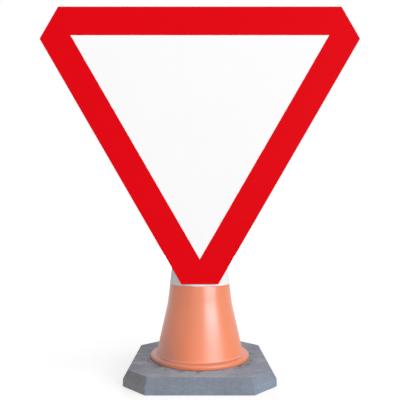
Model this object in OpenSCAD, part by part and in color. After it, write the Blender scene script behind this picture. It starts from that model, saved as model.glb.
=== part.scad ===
// Triangular sign plate that drops over a two-piece traffic cone on two strap clips.
// Millimetres. The origin is on the ground at the cone's axis, +Z is up,
// and the sign's face looks along -Y.

/* [Cone] */
// Height of the cone above the ground
cone_h = 750; // [700:5:800]
// Outer radius of the cone under its rolled top edge
top_r = 30; // [28:0.5:34]
// Height at which the steep skirt blends into the slim upper cone
skirt_z = 200; // [180:5:220]
// Outer radius of the cone at that height
waist_r = 93; // [89:0.5:96]
// Radius of the blend between skirt and upper cone
waist_blend_r = 220; // [100:10:300]
// Outer radius of the skirt where it meets the lip
skirt_r = 124.5; // [122:0.5:127]
// Outer radius of the lip that sits on the base
lip_r = 142; // [138:0.5:150]
// Height of the lip
lip_h = 14; // [11:0.5:17]
// Radius of the lip's outer edge at its shoulder
lip_round_r = 7; // [4:0.5:7]
// Radius of the lip's outer edge at its foot
lip_foot_r = 3; // [2:0.5:4]
// Radius of the fillet between lip and skirt
lip_fillet_r = 3; // [2:0.5:5]
// Wall thickness of the moulding, measured level
wall = 4; // [3:0.1:5]
// Radius of the lamp socket in the top
socket_r = 21; // [18:0.5:23]
// Straight depth of the lamp socket
socket_depth = 24; // [15:1:35]
// Height of the slope under the lamp socket
socket_slope = 16; // [10:1:24]

/* [Stacking ribs] */
// Number of ribs inside the cone that keep stacked cones from jamming
stack_rib_count = 6; // [3:1:12]
// Height of the ribs' lower ends
stack_rib_z = 420; // [400:5:440]
// Length of a rib along the cone
stack_rib_l = 140; // [100:5:160]
// Thickness of a rib
stack_rib_t = 4; // [3:0.5:5]
// How far a rib stands out of the wall at its upper end
stack_rib_reach = 6; // [4:0.5:8]

/* [Snap lugs] */
// Number of lugs that lock the cone into the base
lug_count = 8; // [4:1:12]
// How far each lug reaches under the base
lug_reach = 5; // [3:0.5:7]
// Length of each lug round the cone, in degrees
lug_arc = 16; // [10:1:22]
// Height of the lug's square shoulder
lug_shoulder = 3; // [2:0.5:4]
// Height of the cone's bottom edge above the ground
spigot_z = 3; // [2:0.5:5]

/* [Base] */
// Width of the base over its flat sides
base_w = 400; // [380:2:430]
// Length that each corner cut takes off a side
base_corner = 65; // [55:1:80]
// Height of the base
base_h = 42; // [36:1:50]
// Height of the upright band round the foot of the base
band_h = 20; // [16:1:26]
// How far the bevel above the band leans in
bevel_in = 12; // [8:0.5:18]
// Height of the ledge that the lugs hook under
ledge_z = 15; // [12:0.5:18]
// Width of the rim that stands on the ground
foot_w = 24; // [18:1:30]
// Depth of the hollows in the underside
hollow_depth = 8; // [4:0.5:12]
// Width of the ring round the lug recess
ring_w = 10; // [6:1:14]
// Width of the ribs between the hollows
rib_w = 16; // [10:1:22]

/* [Sleeve] */
// Height of the sleeve's lower edge
sleeve_z = 254; // [240:2:260]
// Height of the recess that holds the sleeve
sleeve_h = 330; // [300:5:340]
// Thickness of the sleeve
sleeve_t = 1; // [0.6:0.1:1.6]

/* [Sign plate] */
// Height of the plate from its cut corner to its top edge
plate_h = 750; // [700:5:800]
// Length of the edge left where each corner is cut off
corner_cut = 100; // [80:2:120]
// Thickness of the plate
plate_t = 3; // [2:0.1:4]
// Width of the red border
border_w = 77; // [60:1:90]
// Thickness of the white sheeting
white_t = 0.4; // [0.3:0.05:0.6]
// Thickness of the red border film
red_t = 0.3; // [0.2:0.05:0.5]
// Gap between the plate's back and the sleeve at the plate's lower edge
plate_gap = 1; // [0.6:0.1:2]
// Distance from the plate's lower edge up to the middle of the lower clip
plate_drop = 156; // [150:1:170]

/* [Rails] */
// Width of the rail's flange
rail_w = 34; // [30:1:40]
// Thickness of the flange
flange_t = 2; // [1.5:0.1:3]
// Wall thickness of the channel
channel_t = 2; // [1.5:0.1:3]
// Thickness of the lips that hold the bolt heads
lip_t = 2; // [1.6:0.1:3]
// Length of the upper rail
upper_rail_l = 460; // [380:5:480]
// Length of the lower rail
lower_rail_l = 226; // [218:2:230]
// Thickness of the bonding tape
tape_t = 1; // [0.6:0.1:1.6]
// Width of the bonding tape
tape_w = 30; // [20:1:30]
// Thickness of an end cap's plate
cap_t = 3; // [2:0.5:4]
// Length of an end cap's plug
plug_l = 8; // [5:1:12]

/* [Clips] */
// Inside diameter of the lower clip
lower_clip_d = 140; // [138:0.5:142]
// Inside diameter of the upper clip
upper_clip_d = 89; // [86:0.5:92]
// Width of the clip's strip
clip_w = 30; // [26:1:34]
// Thickness of the clip's strip
clip_t = 3; // [2.5:0.1:4]
// Inside radius of the bend between leg and ear
bend_r = 4; // [3:0.5:5]
// Straight length of each ear
ear_l = 26; // [23:1:28]
// Radius of the ears' rounded corners
ear_corner_r = 7; // [3:0.5:10]

/* [Fasteners] */
// Bolt diameter
bolt_d = 8; // [7.5:0.1:8.5]
// Bolt length under the head
bolt_l = 20; // [17:1:25]
// Width across the flats of bolt head and nut
hex_af = 13; // [12:0.2:13.6]
// Height of the bolt head
head_h = 5.3; // [4:0.1:6]
// Outside diameter of a washer
washer_d = 16; // [14:0.5:18]
// Thickness of a washer
washer_t = 1.6; // [1:0.1:2.5]
// Height of a nut's hexagon
nut_h = 6.5; // [5:0.1:8]
// Height of the nut's locking collar
collar_h = 1.5; // [1:0.1:2.5]

/* [Fits] */
// Gap between pieces that turn or slide on each other
running_gap = 0.3; // [0.2:0.05:0.5]
// Gap between a bolt head and the channel's sides
head_gap = 0.5; // [0.3:0.1:0.8]
// Gap between a bolt and the hole or slot it passes through
bolt_gap = 0.4; // [0.2:0.05:0.6]
// Gap between a bolt and its nut
thread_gap = 0.05; // [0.02:0.01:0.1]

/* [Hidden] */

// Room past a face, so that a cut goes right through it
past = 1;

// Cone: heights and radii that follow from its sizes
skirt_foot_z = base_h + lip_h;
rim_r = (top_r - socket_r) / 2;
socket_top = cone_h - rim_r;
socket_foot = socket_top - socket_depth;
slope_foot = socket_foot - socket_slope;
spigot_r = skirt_r - wall;
hole_r = spigot_r + running_gap;
lug_recess_r = spigot_r + lug_reach + 2;
recess_depth = sleeve_t + running_gap;
sleeve_top = sleeve_z + sleeve_h;

// Outer radius of the cone's skirt and upper cone at a height
function cone_r(z) = z < skirt_z
    ? skirt_r + (waist_r - skirt_r) * (z - skirt_foot_z) / (skirt_z - skirt_foot_z)
    : waist_r + (top_r - waist_r) * (z - skirt_z) / (socket_top - skirt_z);
// Height on the upper cone at which it has a given radius
function seat_z(r) = skirt_z + (waist_r - r) / (waist_r - top_r) * (socket_top - skirt_z);

// Sign: the clips come down the cone until they meet it, and carry everything else
lower_clip_z = seat_z(lower_clip_d / 2 - running_gap) + clip_w / 2;
upper_clip_z = seat_z(upper_clip_d / 2 - running_gap) + clip_w / 2;
plate_z = lower_clip_z - plate_drop;
plate_back = -(cone_r(plate_z) + plate_gap);
plate_face = plate_back - plate_t;
white_face = plate_face - white_t;
rail_front = plate_back + tape_t;
channel_in = hex_af + 2 * head_gap;
channel_depth = head_h + 2 * head_gap;
rail_d = flange_t + channel_depth + lip_t;
rail_back = rail_front + rail_d;
slot_w = bolt_d + 2 * bolt_gap;
ear_back = rail_back + clip_t;
washer_back = ear_back + washer_t;

// The plate's full triangle, before its corners are cut
triangle_h = plate_h + corner_cut * sqrt(3) / 2;
triangle_side = triangle_h * 2 / sqrt(3);
plate_top = plate_z + plate_h;
incentre_z = plate_top - triangle_h / 3;

// How far out along X a clip's bolts stand
function bolt_x(clip_d) = clip_d / 2 + clip_t + bend_r + ear_l / 2;
// Each bolt: [x, height]
bolt_places = [for (clip = [[lower_clip_d, lower_clip_z], [upper_clip_d, upper_clip_z]], side = [-1, 1])
    [side * bolt_x(clip[0]), clip[1]]];
// Each rail: [length, height]
rail_places = [[upper_rail_l, upper_clip_z], [lower_rail_l, lower_clip_z]];

// Points that round the corner at b between a and c with radius r
function round_corner(a, b, c, r, steps) =
    let (u = (a - b) / norm(a - b), v = (c - b) / norm(c - b),
         half = acos(u * v) / 2,
         middle = b + (u + v) / norm(u + v) * r / sin(half),
         from = b + u * r / tan(half), to = b + v * r / tan(half),
         start = atan2(from[1] - middle[1], from[0] - middle[0]),
         turn = atan2(to[1] - middle[1], to[0] - middle[0]) - start,
         sweep = turn > 180 ? turn - 360 : turn < -180 ? turn + 360 : turn)
    [for (i = [0:steps]) middle + r * [cos(start + sweep * i / steps), sin(start + sweep * i / steps)]];

// The cone's line above the skirt's foot, moved in by a level distance
function cone_line(inset, top_z) =
    concat(round_corner([skirt_r - inset, skirt_foot_z], [waist_r - inset, skirt_z],
            [cone_r(top_z) - inset, top_z], waist_blend_r, 6),
        [[cone_r(top_z) - inset, top_z]]);
function reversed(list) = [for (i = [len(list) - 1:-1:0]) list[i]];

// Half section of the moulded cone, from the spigot in the base to the rolled top
module cone_section() {
    difference() {
        union() {
            polygon(concat(
                [[spigot_r - wall, spigot_z], [spigot_r, spigot_z], [spigot_r, skirt_foot_z - lip_round_r],
                 [lip_r - lip_round_r, skirt_foot_z - lip_round_r]],
                round_corner([lip_r, skirt_foot_z], [skirt_r, skirt_foot_z], [waist_r, skirt_z],
                    lip_fillet_r, 5),
                cone_line(0, socket_top),
                [[socket_r, socket_top], [socket_r, socket_foot]],
                reversed(cone_line(wall, slope_foot)),
                [[skirt_r - wall, skirt_foot_z], [spigot_r - wall, base_h]]));
            lip_section();
            translate([socket_r + rim_r, socket_top]) circle(r = rim_r, $fn = 48);
        }
        sleeve_recess();
    }
}

// Half section of the lip, rounded more at its shoulder than at its foot
module lip_section() {
    root = spigot_r - wall / 2;
    translate([root, base_h]) square([lip_r - lip_round_r - root, lip_h]);
    translate([root, base_h]) square([lip_r - lip_foot_r - root, lip_h - lip_round_r]);
    translate([root, base_h + lip_foot_r]) square([lip_r - root, lip_h - lip_round_r - lip_foot_r]);
    translate([lip_r - lip_round_r, skirt_foot_z - lip_round_r]) circle(r = lip_round_r, $fn = 48);
    translate([lip_r - lip_foot_r, base_h + lip_foot_r]) circle(r = lip_foot_r, $fn = 48);
}

// Half section of the recess that the sleeve lies in
module sleeve_recess() {
    polygon([[cone_r(sleeve_z) - recess_depth, sleeve_z], [cone_r(sleeve_z) + past, sleeve_z],
        [cone_r(sleeve_z) + past, sleeve_top], [cone_r(sleeve_top) - recess_depth, sleeve_top]]);
}

// One rib inside the cone, which grows out of the wall towards its upper end
module stacking_rib() {
    rib_top = stack_rib_z + stack_rib_l;
    root = (wall + recess_depth) / 2;
    rotate([90, 0, 0]) linear_extrude(height = stack_rib_t, center = true) polygon([
        [cone_r(stack_rib_z) - root, stack_rib_z], [cone_r(rib_top) - root, rib_top],
        [cone_r(rib_top) - wall - stack_rib_reach, rib_top]]);
}

// One lug at the foot of the spigot, sloped so that it snaps through the base from above
module snap_lug() {
    lug_top = ledge_z - running_gap;
    rotate([0, 0, -lug_arc / 2]) rotate_extrude(angle = lug_arc, $fn = 96) polygon([
        [spigot_r - wall / 2, spigot_z + wall / 4],
        [spigot_r + lug_reach, lug_top - lug_shoulder], [spigot_r + lug_reach, lug_top],
        [spigot_r - wall / 2, lug_top]]);
}

module cone_body() {
    color([0.93, 0.50, 0.32]) union() {
        rotate_extrude($fn = 128) cone_section();
        for (i = [0:stack_rib_count - 1]) rotate([0, 0, (i + 0.5) * 360 / stack_rib_count]) stacking_rib();
        for (i = [0:lug_count - 1]) rotate([0, 0, i * 360 / lug_count]) snap_lug();
    }
}

// A bar with the base's edge shape on both long sides, half wide at the foot
module base_bar(half) {
    rotate([90, 0, 0]) linear_extrude(height = 2 * base_w, center = true) polygon([
        [-half, 0], [half, 0], [half, band_h], [half - bevel_in, base_h],
        [bevel_in - half, base_h], [-half, band_h]]);
}

// The eight-sided block, where two square pairs of edges and two corner pairs meet
module base_block() {
    corner_half = (base_w - base_corner) / sqrt(2);
    intersection() {
        base_bar(base_w / 2);
        rotate([0, 0, 90]) base_bar(base_w / 2);
        rotate([0, 0, 45]) base_bar(corner_half);
        rotate([0, 0, -45]) base_bar(corner_half);
    }
}

// Outline of the underside's hollows: inside the rim, outside the ring, between the ribs
module hollow_outline() {
    inner = base_w / 2 - foot_w;
    inner_corner = (base_w - base_corner) / sqrt(2) - foot_w;
    difference() {
        intersection() {
            square(2 * inner, center = true);
            rotate(45) square(2 * inner_corner, center = true);
        }
        circle(r = lug_recess_r + ring_w, $fn = 96);
        for (a = [0:45:135]) rotate(a) square([2 * base_w, rib_w], center = true);
    }
}

module base_weight() {
    color([0.36, 0.38, 0.42]) difference() {
        base_block();
        translate([0, 0, -past]) cylinder(r = hole_r, h = base_h + 2 * past, $fn = 128);
        translate([0, 0, -past]) cylinder(r = lug_recess_r, h = ledge_z + past, $fn = 128);
        translate([0, 0, -past]) linear_extrude(height = hollow_depth + past) hollow_outline();
    }
}

module reflective_sleeve() {
    low = sleeve_z + running_gap;
    high = sleeve_top - running_gap;
    color([0.92, 0.92, 0.93]) rotate_extrude($fn = 128) polygon([
        [cone_r(low) - sleeve_t, low], [cone_r(low), low],
        [cone_r(high), high], [cone_r(high) - sleeve_t, high]]);
}

// Puts a flat outline upright, with its front at y and its thickness towards the back
module upright(y, thickness) {
    translate([0, y + thickness, 0]) rotate([90, 0, 0]) linear_extrude(height = thickness) children();
}

// Triangle that points down, as far inside the full triangle's edges as inset says
module sign_triangle(inset) {
    corner_r = 2 * (triangle_h / 3 - inset);
    translate([0, incentre_z]) polygon([for (a = [-90, 30, 150]) corner_r * [cos(a), sin(a)]]);
}

// The plate's outline: the triangle with its three corners cut off
module plate_outline() {
    cut_distance = 2 * triangle_h / 3 - corner_cut * sqrt(3) / 2;
    intersection() {
        sign_triangle(0);
        translate([0, incentre_z]) rotate(180) polygon(
            [for (a = [-90, 30, 150]) 2 * cut_distance * [cos(a), sin(a)]]);
    }
}

module sign_plate() {
    color([0.45, 0.47, 0.48]) upright(plate_face, plate_t) plate_outline();
}

module white_sheeting() {
    color([0.96, 0.96, 0.96]) upright(white_face, white_t) plate_outline();
}

module red_border() {
    color([0.89, 0.02, 0.07]) upright(white_face - red_t, red_t) difference() {
        plate_outline();
        sign_triangle(border_w);
    }
}

// Puts a section along X at a height: its x runs to the back from y, and its y runs up
module along_x(y, z, length) {
    translate([0, y, z]) rotate([90, 0, 90]) linear_extrude(height = length, center = true) children();
}

module rail_tape(rail) {
    color([0.13, 0.13, 0.14]) along_x(plate_back, rail[1], rail[0])
        translate([0, -tape_w / 2]) square([tape_t, tape_w]);
}

module upper_rail_tape() { rail_tape(rail_places[0]); }
module lower_rail_tape() { rail_tape(rail_places[1]); }

// Outside of the rail's section: a wide flange with a channel standing on it
module rail_outside() {
    channel_out = channel_in + 2 * channel_t;
    translate([0, -rail_w / 2]) square([flange_t, rail_w]);
    translate([0, -channel_out / 2]) square([rail_d, channel_out]);
}

module rail(place) {
    color([0.74, 0.75, 0.77]) along_x(rail_front, place[1], place[0]) difference() {
        rail_outside();
        translate([flange_t, -channel_in / 2]) square([channel_depth, channel_in]);
        translate([flange_t, -slot_w / 2]) square([rail_d, slot_w]);
    }
}

module upper_rail() { rail(rail_places[0]); }
module lower_rail() { rail(rail_places[1]); }

// One cap for a rail's right-hand end: a plate over the section, and a plug in the channel
module end_cap(place) {
    plug = channel_in - 2 * running_gap;
    translate([place[0] / 2 + cap_t / 2, 0, 0]) along_x(rail_front, place[1], cap_t) rail_outside();
    translate([place[0] / 2 - plug_l / 2, 0, 0]) along_x(rail_front, place[1], plug_l)
        translate([flange_t + running_gap, -plug / 2]) square([channel_depth - 2 * running_gap, plug]);
}

module rail_end_caps() {
    color([0.10, 0.10, 0.11]) for (place = rail_places) {
        end_cap(place);
        mirror([1, 0, 0]) end_cap(place);
    }
}

// Plan of a clip's right half: half of the round back, the leg, the bend and the ear
module clip_half(inside_r) {
    bend_x = inside_r + clip_t + bend_r;
    bend_y = rail_back + clip_t + bend_r;
    intersection() {
        difference() {
            circle(r = inside_r + clip_t, $fn = 128);
            circle(r = inside_r, $fn = 128);
        }
        square(2 * inside_r);
    }
    translate([inside_r, bend_y]) square([clip_t, -bend_y]);
    translate([bend_x, bend_y]) intersection() {
        difference() {
            circle(r = bend_r + clip_t, $fn = 64);
            circle(r = bend_r, $fn = 64);
        }
        translate([-bend_r - clip_t, -bend_r - clip_t]) square(bend_r + clip_t);
    }
    translate([bend_x, rail_back]) square([ear_l, clip_t]);
}

// A clip seen from the front: a strip with rounded ends
module clip_front(length) {
    square([length, clip_w - 2 * ear_corner_r], center = true);
    square([length - 2 * ear_corner_r, clip_w], center = true);
    for (x = [-1, 1], y = [-1, 1])
        translate([x * (length / 2 - ear_corner_r), y * (clip_w / 2 - ear_corner_r)])
            circle(r = ear_corner_r, $fn = 48);
}

module cone_clip(inside_d, z) {
    clip_l = inside_d + 2 * (clip_t + bend_r + ear_l);
    color([0.66, 0.68, 0.70]) difference() {
        intersection() {
            translate([0, 0, z - clip_w / 2]) linear_extrude(height = clip_w) {
                clip_half(inside_d / 2);
                mirror([1, 0]) clip_half(inside_d / 2);
            }
            translate([0, 0, z]) rotate([90, 0, 0])
                linear_extrude(height = 2 * inside_d, center = true) clip_front(clip_l);
        }
        for (side = [-1, 1]) translate([side * bolt_x(inside_d), rail_back - past, z])
            rotate([-90, 0, 0]) cylinder(d = bolt_d + 2 * bolt_gap, h = clip_t + 2 * past, $fn = 48);
    }
}

module upper_cone_clip() { cone_clip(upper_clip_d, upper_clip_z); }
module lower_cone_clip() { cone_clip(lower_clip_d, lower_clip_z); }

// Puts a fastener's shape at every bolt place, standing out to the back from y
module at_bolts(y) {
    for (place = bolt_places) translate([place[0], y, place[1]]) rotate([-90, 0, 0]) children();
}

// A hexagonal prism with its flats level with the channel's sides
module hex_prism(height) { cylinder(r = hex_af / sqrt(3), h = height, $fn = 6); }

module clip_bolts() {
    color([0.72, 0.73, 0.70]) at_bolts(rail_back - lip_t) {
        translate([0, 0, -head_h]) hex_prism(head_h);
        cylinder(d = bolt_d, h = bolt_l, $fn = 48);
    }
}

module clip_washers() {
    color([0.72, 0.73, 0.70]) at_bolts(ear_back) difference() {
        cylinder(d = washer_d, h = washer_t, $fn = 64);
        translate([0, 0, -past]) cylinder(d = bolt_d + bolt_gap, h = washer_t + 2 * past, $fn = 48);
    }
}

module clip_nuts() {
    collar_d = hex_af - 2;
    color([0.72, 0.73, 0.70]) at_bolts(washer_back) difference() {
        union() {
            hex_prism(nut_h);
            cylinder(d = collar_d, h = nut_h + collar_h, $fn = 48);
        }
        translate([0, 0, -past])
            cylinder(d = bolt_d + 2 * thread_gap, h = nut_h + collar_h + 2 * past, $fn = 48);
    }
}

base_weight();
cone_body();
reflective_sleeve();
sign_plate();
white_sheeting();
red_border();
upper_rail_tape();
lower_rail_tape();
upper_rail();
lower_rail();
rail_end_caps();
upper_cone_clip();
lower_cone_clip();
clip_bolts();
clip_washers();
clip_nuts();
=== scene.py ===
import math

import bmesh
import bpy
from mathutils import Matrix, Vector


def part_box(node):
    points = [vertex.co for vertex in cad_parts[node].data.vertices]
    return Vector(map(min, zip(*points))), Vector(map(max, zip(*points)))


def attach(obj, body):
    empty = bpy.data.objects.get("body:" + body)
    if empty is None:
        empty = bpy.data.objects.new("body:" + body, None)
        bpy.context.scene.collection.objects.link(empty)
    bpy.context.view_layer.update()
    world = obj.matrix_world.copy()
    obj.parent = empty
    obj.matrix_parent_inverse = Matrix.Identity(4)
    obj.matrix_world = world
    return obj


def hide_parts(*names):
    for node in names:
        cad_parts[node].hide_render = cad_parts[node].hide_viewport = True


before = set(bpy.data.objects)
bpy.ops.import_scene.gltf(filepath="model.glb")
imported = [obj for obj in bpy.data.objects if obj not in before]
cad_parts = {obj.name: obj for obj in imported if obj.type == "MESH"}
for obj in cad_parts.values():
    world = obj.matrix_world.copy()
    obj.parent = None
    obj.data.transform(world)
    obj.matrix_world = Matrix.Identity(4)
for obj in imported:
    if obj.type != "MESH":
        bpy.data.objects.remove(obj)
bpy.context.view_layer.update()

# Sizes are in millimetres here and in metres in the scene.
MM = 0.001

# The cone and its sleeve: heights, radii and thicknesses
SPIGOT_Z, SPIGOT_R, WALL = 3.0, 120.5, 4.0
LUG_FOOT, LUG_FOOT_REACH, LUG_SHOULDER, LUG_TOP = 1.5, 0.3, 3.0, 14.7
LUG_REACH, LUG_COUNT, LUG_HALF_ANGLE = 5.0, 8, 8.0
LIP_Z, LIP_H, LIP_R, LIP_ROUND, LIP_FOOT_R, LIP_FILLET = 42.0, 14.0, 142.0, 7.0, 3.0, 3.0
SKIRT_Z, SKIRT_R = LIP_Z + LIP_H, 124.5
WAIST_Z, WAIST_R, WAIST_BLEND = 200.0, 93.0, 220.0
RECESS_Z, RECESS_TOP, RECESS_DEPTH = 254.0, 584.0, 1.3
RECESS_LAND, RECESS_EDGE, RECESS_LEAN = 2.0, 0.4, 0.12
TOP_Z, TOP_R = 745.5, 30.0
SOCKET_R, SOCKET_FOOT, SLOPE_FOOT = 21.0, 721.5, 705.5
STACK_RIB_Z, STACK_RIB_L, STACK_RIB_T = 420.0, 140.0, 4.0
STACK_RIB_ROOT, STACK_RIB_REACH, STACK_RIB_COUNT = 1.0, 6.0, 6
SLEEVE_T, SEAM_W, SEAM_T = 1.0, 18.0, 0.15

# The base
BASE_CORNER, BAND_H, BEVEL_IN, BASE_EDGE_R = 65.0, 20.0, 12.0, 1.4
LEDGE_Z, HOLE_R, LUG_RECESS_R = 15.0, 120.8, 127.5
FOOT_W, HOLLOW_DEPTH, RING_W, RIB_W, RIB_COUNT = 24.0, 8.0, 10.0, 16.0, 4

# The sign
CORNER_CUT, BORDER_W, PLATE_EDGE_R = 100.0, 77.0, 0.4
FLANGE_T, LIP_T, CHANNEL_IN, CHANNEL_OUT, SLOT_W, RAIL_EDGE_R = 2.0, 2.0, 14.0, 18.0, 8.8, 0.35
TAPE_EDGE_R = 0.3
CAP_T, PLUG_L, PLUG_GAP, CAP_EDGE_R = 3.0, 8.0, 0.3, 0.6
CLIP_T, BEND_R, EAR_L, EAR_CORNER_R, CLIP_HOLE_R, CLIP_EDGE_R = 3.0, 4.0, 26.0, 7.0, 4.4, 0.5

# The fasteners
HEX_AF = 13.0
HEX_R = HEX_AF / math.sqrt(3)
HEX_SIDES, HEX_TURN = 6, math.radians(30)
BOLT_R, BOLT_L, BOLT_PLAIN, BOLT_END, HEAD_H, HEAD_EDGE_R = 4.0, 20.0, 4.0, 0.8, 5.3, 0.4
PITCH, THREAD_DEPTH, CREST = 1.25, 0.55, 0.1
WASHER_R, WASHER_HOLE_R, WASHER_T, WASHER_EDGE = 8.0, 4.2, 1.6, 0.25
NUT_H, NUT_BORE_R, NUT_CHAMFER, NUT_LEAN = 6.5, 4.05, 1.2, math.tan(math.radians(60))
COLLAR_H, COLLAR_IN, SEAT_DEPTH = 1.5, 1.0, 1.5
COLLAR_ROLL = ((0.0, 0.9), (0.3, 0.25), (0.8, 0.0))
INSERT_W, INSERT_GAP, INSERT_SUNK, INSERT_OUT_EDGE, INSERT_IN_EDGE = 0.7, 0.05, 0.35, 0.2, 0.15

# How finely round things are divided, and the angles in degrees past which an edge is a crease
ROUND_SIDES, HEX_TURN_SIDES, SMALL_SIDES, HOLE_SIDES, SHANK_SIDES = 192, 96, 64, 48, 32
BEND_STEPS, STRAP_STEPS = 8, 72
CREASE, HEX_CREASE, ROUND_CREASE = 30, 35, 40

# When points count as one, when places count as the same, and when a face counts as facing an axis
DOUBLED, NEAR, FACING = 0.001, 0.1, 0.9

# How far cutters reach past a piece and joined pieces into each other, how far the cutters of the ears'
# holes and of the nuts' seats go, and how far from the axis turned pieces start that have no bore yet
JUST_PAST, PAST, EAR_CUT, SEAT_CUT = 1.0, 5.0, 20.0, 30.0
BOLT_CORE_R, NUT_CORE_R = 0.4, 0.5

# Where wear, dirt, tones, painted light and painted shade fade in or out, in metres: heights, places from
# left to right, the reach from the axis, and the distance from the moulding's parting plane
# The third heights here are where the painted shade low on the cone's left fades in
DUST_FADE, FOOT_WEAR, SHADE_LOW_FADE = (0.045, 0.085), (0.07, 0.19), (0.06, 0.17)
# Heights of the lip's shoulder, where a highlight is painted in pale patches
SHOULDER_FROM, SHOULDER_TO = (0.050, 0.053), (0.054, 0.056)
# Heights of the groove above the lip, where paler colour is painted as light into its shade
GROOVE_FROM, GROOVE_TO = (0.0548, 0.0558), (0.0574, 0.0590)
# The first heights here are where the base's bevel takes painted shade, the second where its top starts,
# paler partly from dust and partly as painted light
BEVEL_FROM, TOP_FROM = (0.0195, 0.0215), (0.0410, 0.0419)
# The first places here are where the painted shade on the cone's left fades in, the second where the base's
# left bevel takes more painted shade
SHADE_LEFT_FADE, LEFT_BEVEL = (-0.10, -0.02), (-0.150, -0.125)
# Where the base's sides turn from a grey left to a blue-grey front and a lighter blue right: painted light
LEFT_SIDE, RIGHT_SIDE = (-0.145, -0.125), (0.09, 0.15)
# Where the base's top turns from painted shade on the left to painted light in the middle and painted shade
# on the right
LEFT_TOP, RIGHT_TOP = (-0.2, -0.03), (0.05, 0.17)
# The first reaches here are where dirt and painted contact shadow lie round the lip's foot
LIP_DIRT_AND_SHADOW, PARTING_LINE = (0.142, 0.180), (0.0003, 0.0008)

# The studio: an even light from all round, then each lamp's place, size and power in metres and watts,
# and whether it shows in glossy surfaces
ROUND_LIGHT = 0.40
LAMPS = (("low_right", (12.3, -14.9, 5.7), (14.6, 4.0), 1400.0, True),
         ("low_strip", (12.3, -15.7, 1.9), (14.6, 1.6), 600.0, True),
         ("front", (-0.8, -7.8, 2.1), (5.6, 3.8), 188.0, False),
         ("right", (7.4, -1.6, 3.1), (3.2, 3.2), 135.0, False),
         ("overhead", (0.6, -1.6, 5.1), (3.0, 3.0), 12.0, True),
         ("rear", (-0.6, 8.2, 1.9), (5.0, 3.0), 370.0, False))
LAMP_AIM = Vector((0, 0, 0.4))

# The floor: its width, its grey as seen and as it throws light back, and its glow near by and far off
FLOOR_W, FLOOR_SEEN, FLOOR_BOUNCE = 60, 0.7, 0.28
GLOW_NEAR, GLOW_FAR, GLOW_LOW, GLOW_HIGH = 0.5, 4.0, 0.50, 0.76

# The camera
CAMERA_PLACE, LENS, SENSOR, SHIFT_X, SHIFT_Y = (0, -1.25, 0.385), 38.63, 36, 0.0005, 0.0957


def deselect():
    """Leave edit mode and let go of everything."""
    if bpy.context.mode != "OBJECT":
        bpy.ops.object.mode_set(mode="OBJECT")
    bpy.ops.object.select_all(action="DESELECT")


def choose(piece):
    """Take up one piece and nothing else."""
    deselect()
    piece.select_set(True)
    bpy.context.view_layer.objects.active = piece


def start(add, name, **options):
    """Add a primitive by itself, put its place into its mesh and open it in edit mode."""
    deselect()
    add(**options)
    piece = bpy.context.object
    piece.name = name
    piece.data.name = name
    bpy.ops.object.transform_apply(location=True, rotation=True, scale=True)
    bpy.ops.object.mode_set(mode="EDIT")
    bpy.ops.mesh.select_all(action="SELECT")
    return piece


def start_block(name, low, high):
    """Add a square block between two corners; left open."""
    middle = [(a + b) / 2 * MM for a, b in zip(low, high)]
    size = [(b - a) * MM for a, b in zip(low, high)]
    return start(bpy.ops.mesh.primitive_cube_add, name, size=1, location=middle, scale=size)


def start_prism(name, radius, low, high, sides, turned=0.0):
    """Add an upright prism or drum between two heights; left open."""
    return start(bpy.ops.mesh.primitive_cylinder_add, name, vertices=sides, radius=radius * MM,
                 depth=(high - low) * MM, location=(0, 0, (low + high) / 2 * MM), rotation=(0, 0, turned))


def pick(piece, kind, wanted):
    """Select those vertices, edges or faces of the open piece that are wanted."""
    bpy.ops.mesh.select_mode(type=kind)
    bpy.ops.mesh.select_all(action="DESELECT")
    mesh = bmesh.from_edit_mesh(piece.data)
    parts = {"VERT": mesh.verts, "EDGE": mesh.edges, "FACE": mesh.faces}[kind]
    for part in parts:
        if wanted(part):
            part.select_set(True)
    mesh.select_flush_mode()
    bmesh.update_edit_mesh(piece.data)


def centre_of(face):
    """A face's middle in millimetres."""
    return face.calc_center_median() / MM


def pull(x=0.0, y=0.0, z=0.0):
    """Extrude what is selected by a distance in millimetres."""
    bpy.ops.mesh.extrude_region_move(TRANSFORM_OT_translate={"value": (x * MM, y * MM, z * MM)})


def raise_faces(distance):
    """Extrude the selected faces along their own normals."""
    bpy.ops.mesh.extrude_region_shrink_fatten(TRANSFORM_OT_shrink_fatten={"value": distance * MM})


def widen(times):
    """Scale what is selected away from the upright axis."""
    bpy.ops.transform.resize(value=(times, times, 1), center_override=(0, 0, 0))


def split(place, across):
    """Cut the whole open piece along a plane, without taking anything off."""
    bpy.ops.mesh.select_all(action="SELECT")
    bpy.ops.mesh.bisect(plane_co=[c * MM for c in place], plane_no=across)


def clean():
    """Merge the open piece's doubled points and face it outwards."""
    bpy.ops.mesh.select_all(action="SELECT")
    bpy.ops.mesh.remove_doubles(threshold=DOUBLED * MM)
    bpy.ops.mesh.normals_make_consistent(inside=False)


def close(piece, crease=CREASE):
    """Clean the open piece, leave edit mode and shade it."""
    bpy.ops.mesh.select_mode(type="VERT")
    clean()
    shade(piece, crease)
    return piece


def shade(piece, crease=CREASE):
    """Shade a piece smooth, with creases where its faces meet at more than an angle."""
    choose(piece)
    bpy.ops.object.shade_smooth_by_angle(angle=math.radians(crease))


def settle(piece, place, turned):
    """Move a piece by millimetres, turn it, and put that into its mesh."""
    choose(piece)
    piece.location = [c * MM for c in place]
    piece.rotation_euler = turned
    bpy.ops.object.transform_apply(location=True, rotation=True, scale=True)


def work(piece, kind, **settings):
    """Add one modifier to a piece and apply it."""
    modifier = piece.modifiers.new(kind.title(), kind)
    for setting, value in settings.items():
        setattr(modifier, setting, value)
    choose(piece)
    bpy.ops.object.modifier_apply(modifier=modifier.name)


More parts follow.
